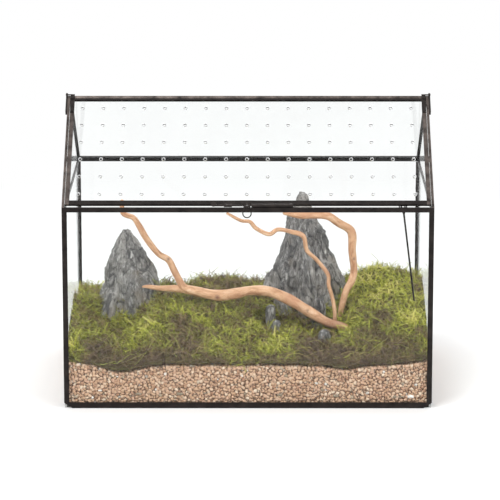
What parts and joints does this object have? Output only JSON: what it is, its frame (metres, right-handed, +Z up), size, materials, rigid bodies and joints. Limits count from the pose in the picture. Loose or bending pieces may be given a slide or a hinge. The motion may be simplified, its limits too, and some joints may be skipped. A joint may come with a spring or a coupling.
{
  "type": "reptile terrarium",
  "caption": "House-shaped glass terrarium in a dark metal frame, with a hinged perforated lid in the front roof slope, a bolt, a pull ring, a stay and a planted landscape.",
  "frame": {"origin": "middle of the footprint, on the table", "axes": "+X to the right along the ridge, -Y towards the side with the lid, +Z up"},
  "size_m": [0.4048, 0.2829, 0.3232],
  "materials": {
    "frame": "satin",
    "fittings": "satin",
    "glass": "gloss",
    "lid_sheet": "gloss",
    "gravel": "rough",
    "stone": "rough",
    "driftwood": "rough",
    "moss": "rough"
  },
  "bodies": {
    "tank": {"base_front_rail": "frame", "base_back_rail": "frame", "base_left_rail": "frame", "base_right_rail": "frame", "front_left_post": "frame", "front_right_post": "frame", "back_left_post": "frame", "back_right_post": "frame", "front_eave_rail": "frame", "back_eave_rail": "frame", "left_eave_rail": "frame", "right_eave_rail": "frame", "front_left_gable_rail": "frame", "front_right_gable_rail": "frame", "rear_left_gable_rail": "frame", "rear_right_gable_rail": "frame", "ridge_rail": "frame", "floor_glass": "glass", "front_glass": "glass", "back_glass": "glass", "left_glass": "glass", "right_glass": "glass", "left_gable_glass": "glass", "right_gable_glass": "glass", "rear_roof_glass": "glass", "left_hinge_bracket": "fittings", "right_hinge_bracket": "fittings", "latch_keeper": "fittings", "stay_bracket": "fittings", "gravel_bed": "gravel", "left_stone": "stone", "right_stone": "stone", "small_stones": "stone", "driftwood_branch": "driftwood", "driftwood_twig": "driftwood", "driftwood_arch": "driftwood", "moss_left": "moss", "moss_middle": "moss", "moss_right": "moss", "moss_back": "moss"},
    "lid": {"lid_head_rail": "frame", "lid_foot_rail": "frame", "lid_left_rail": "frame", "lid_right_rail": "frame", "lid_sheet": "lid_sheet", "left_hinge_strap": "fittings", "right_hinge_strap": "fittings", "latch_sleeve": "fittings", "ring_lug": "fittings"},
    "bolt": {"latch_bolt": "fittings"},
    "ring": {"pull_ring": "fittings"},
    "stay": {"stay_rod": "fittings"}
  },
  "joints": [
    {"name": "lid_hinge", "type": "hinge", "parent": "tank", "child": "lid", "pos_m": [0, 0, 0.32115], "axis": [-1, 0, 0], "range_deg": [0, 240]},
    {"name": "bolt_slide", "type": "slide", "parent": "lid", "child": "bolt", "axis": [1, 0, 0], "range_m": [0, 0.007]},
    {"name": "ring_pivot", "type": "hinge", "parent": "lid", "child": "ring", "pos_m": [-0.001, -0.1416, 0.2244], "axis": [-1, 0, 0], "range_deg": [0, 210]},
    {"name": "stay_pivot", "type": "hinge", "parent": "tank", "child": "stay", "pos_m": [0.1666, -0.131, 0.2236], "axis": [1, 0, 0], "range_deg": [0, 115]}
  ]
}
